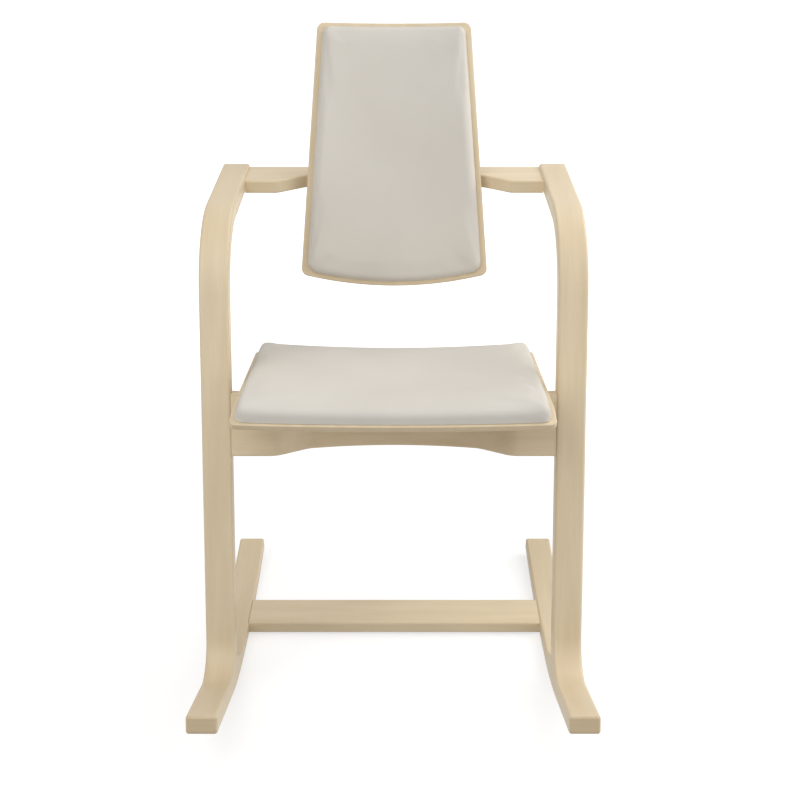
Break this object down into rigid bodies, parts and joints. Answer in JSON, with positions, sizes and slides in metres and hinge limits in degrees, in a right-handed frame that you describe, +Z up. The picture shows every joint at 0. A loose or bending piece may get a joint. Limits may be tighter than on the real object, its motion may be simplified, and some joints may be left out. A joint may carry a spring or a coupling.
{
  "type": "rocking chair",
  "caption": "Armchair of bent laminated wood on long curved runners that rock, with an upholstered seat and a tall upholstered backrest that tilts on its crossbar.",
  "frame": {"origin": "on the floor in the chair's middle plane, where its runners touch the floor at rest", "axes": "+X to the sitter's left, across the chair; +Y to the rear; +Z up. Left and right in the nodes' names are as seen from the front, so left is -X"},
  "size_m": [0.56, 0.696, 0.9221],
  "materials": {
    "frame_wood": "satin lacquer",
    "board_ply": "satin lacquer",
    "seat_fabric": "fine plain weave",
    "back_fabric": "fine plain weave",
    "foam": "open-cell foam",
    "fitting_steel": "black powder coat",
    "fastener_steel": "zinc plated",
    "bush_rubber": "matt"
  },
  "bodies": {
    "frame": {"left_side_frame": "frame_wood", "right_side_frame": "frame_wood", "left_rear_runner": "frame_wood", "right_rear_runner": "frame_wood", "seat_rail": "frame_wood", "back_rail": "frame_wood", "floor_stretcher": "frame_wood", "seat_board": "board_ply", "seat_pad_panel": "board_ply", "seat_cover": "seat_fabric", "seat_foam": "foam", "left_seat_bracket": "fitting_steel", "right_seat_bracket": "fitting_steel", "left_hinge_base": "fitting_steel", "right_hinge_base": "fitting_steel", "seat_rail_bolts": "fastener_steel", "back_rail_bolts": "fastener_steel", "stretcher_bolts": "fastener_steel", "seat_rail_barrel_nuts": "fastener_steel", "back_rail_barrel_nuts": "fastener_steel", "stretcher_barrel_nuts": "fastener_steel", "seat_bracket_screws": "fastener_steel", "seat_bolts": "fastener_steel", "seat_tee_nuts": "fastener_steel", "seat_pad_screws": "fastener_steel", "hinge_base_screws": "fastener_steel", "hinge_pins": "fastener_steel", "hinge_pin_clips": "fastener_steel"},
    "backrest": {"back_board": "board_ply", "back_block": "board_ply", "back_pad_panel": "board_ply", "back_foam": "foam", "back_cover": "back_fabric", "left_hinge_leaf": "fitting_steel", "right_hinge_leaf": "fitting_steel", "hinge_leaf_screws": "fastener_steel", "hinge_bushes": "bush_rubber", "back_pad_screws": "fastener_steel"}
  },
  "joints": [
    {"name": "backrest_tilt", "type": "hinge", "parent": "frame", "child": "backrest", "pos_m": [0, 0.23461, 0.70895], "axis": [1, 0, 0], "range_deg": [-5, 5], "stiffness_Nm_per_rad": 60, "springref_deg": -0.34}
  ]
}
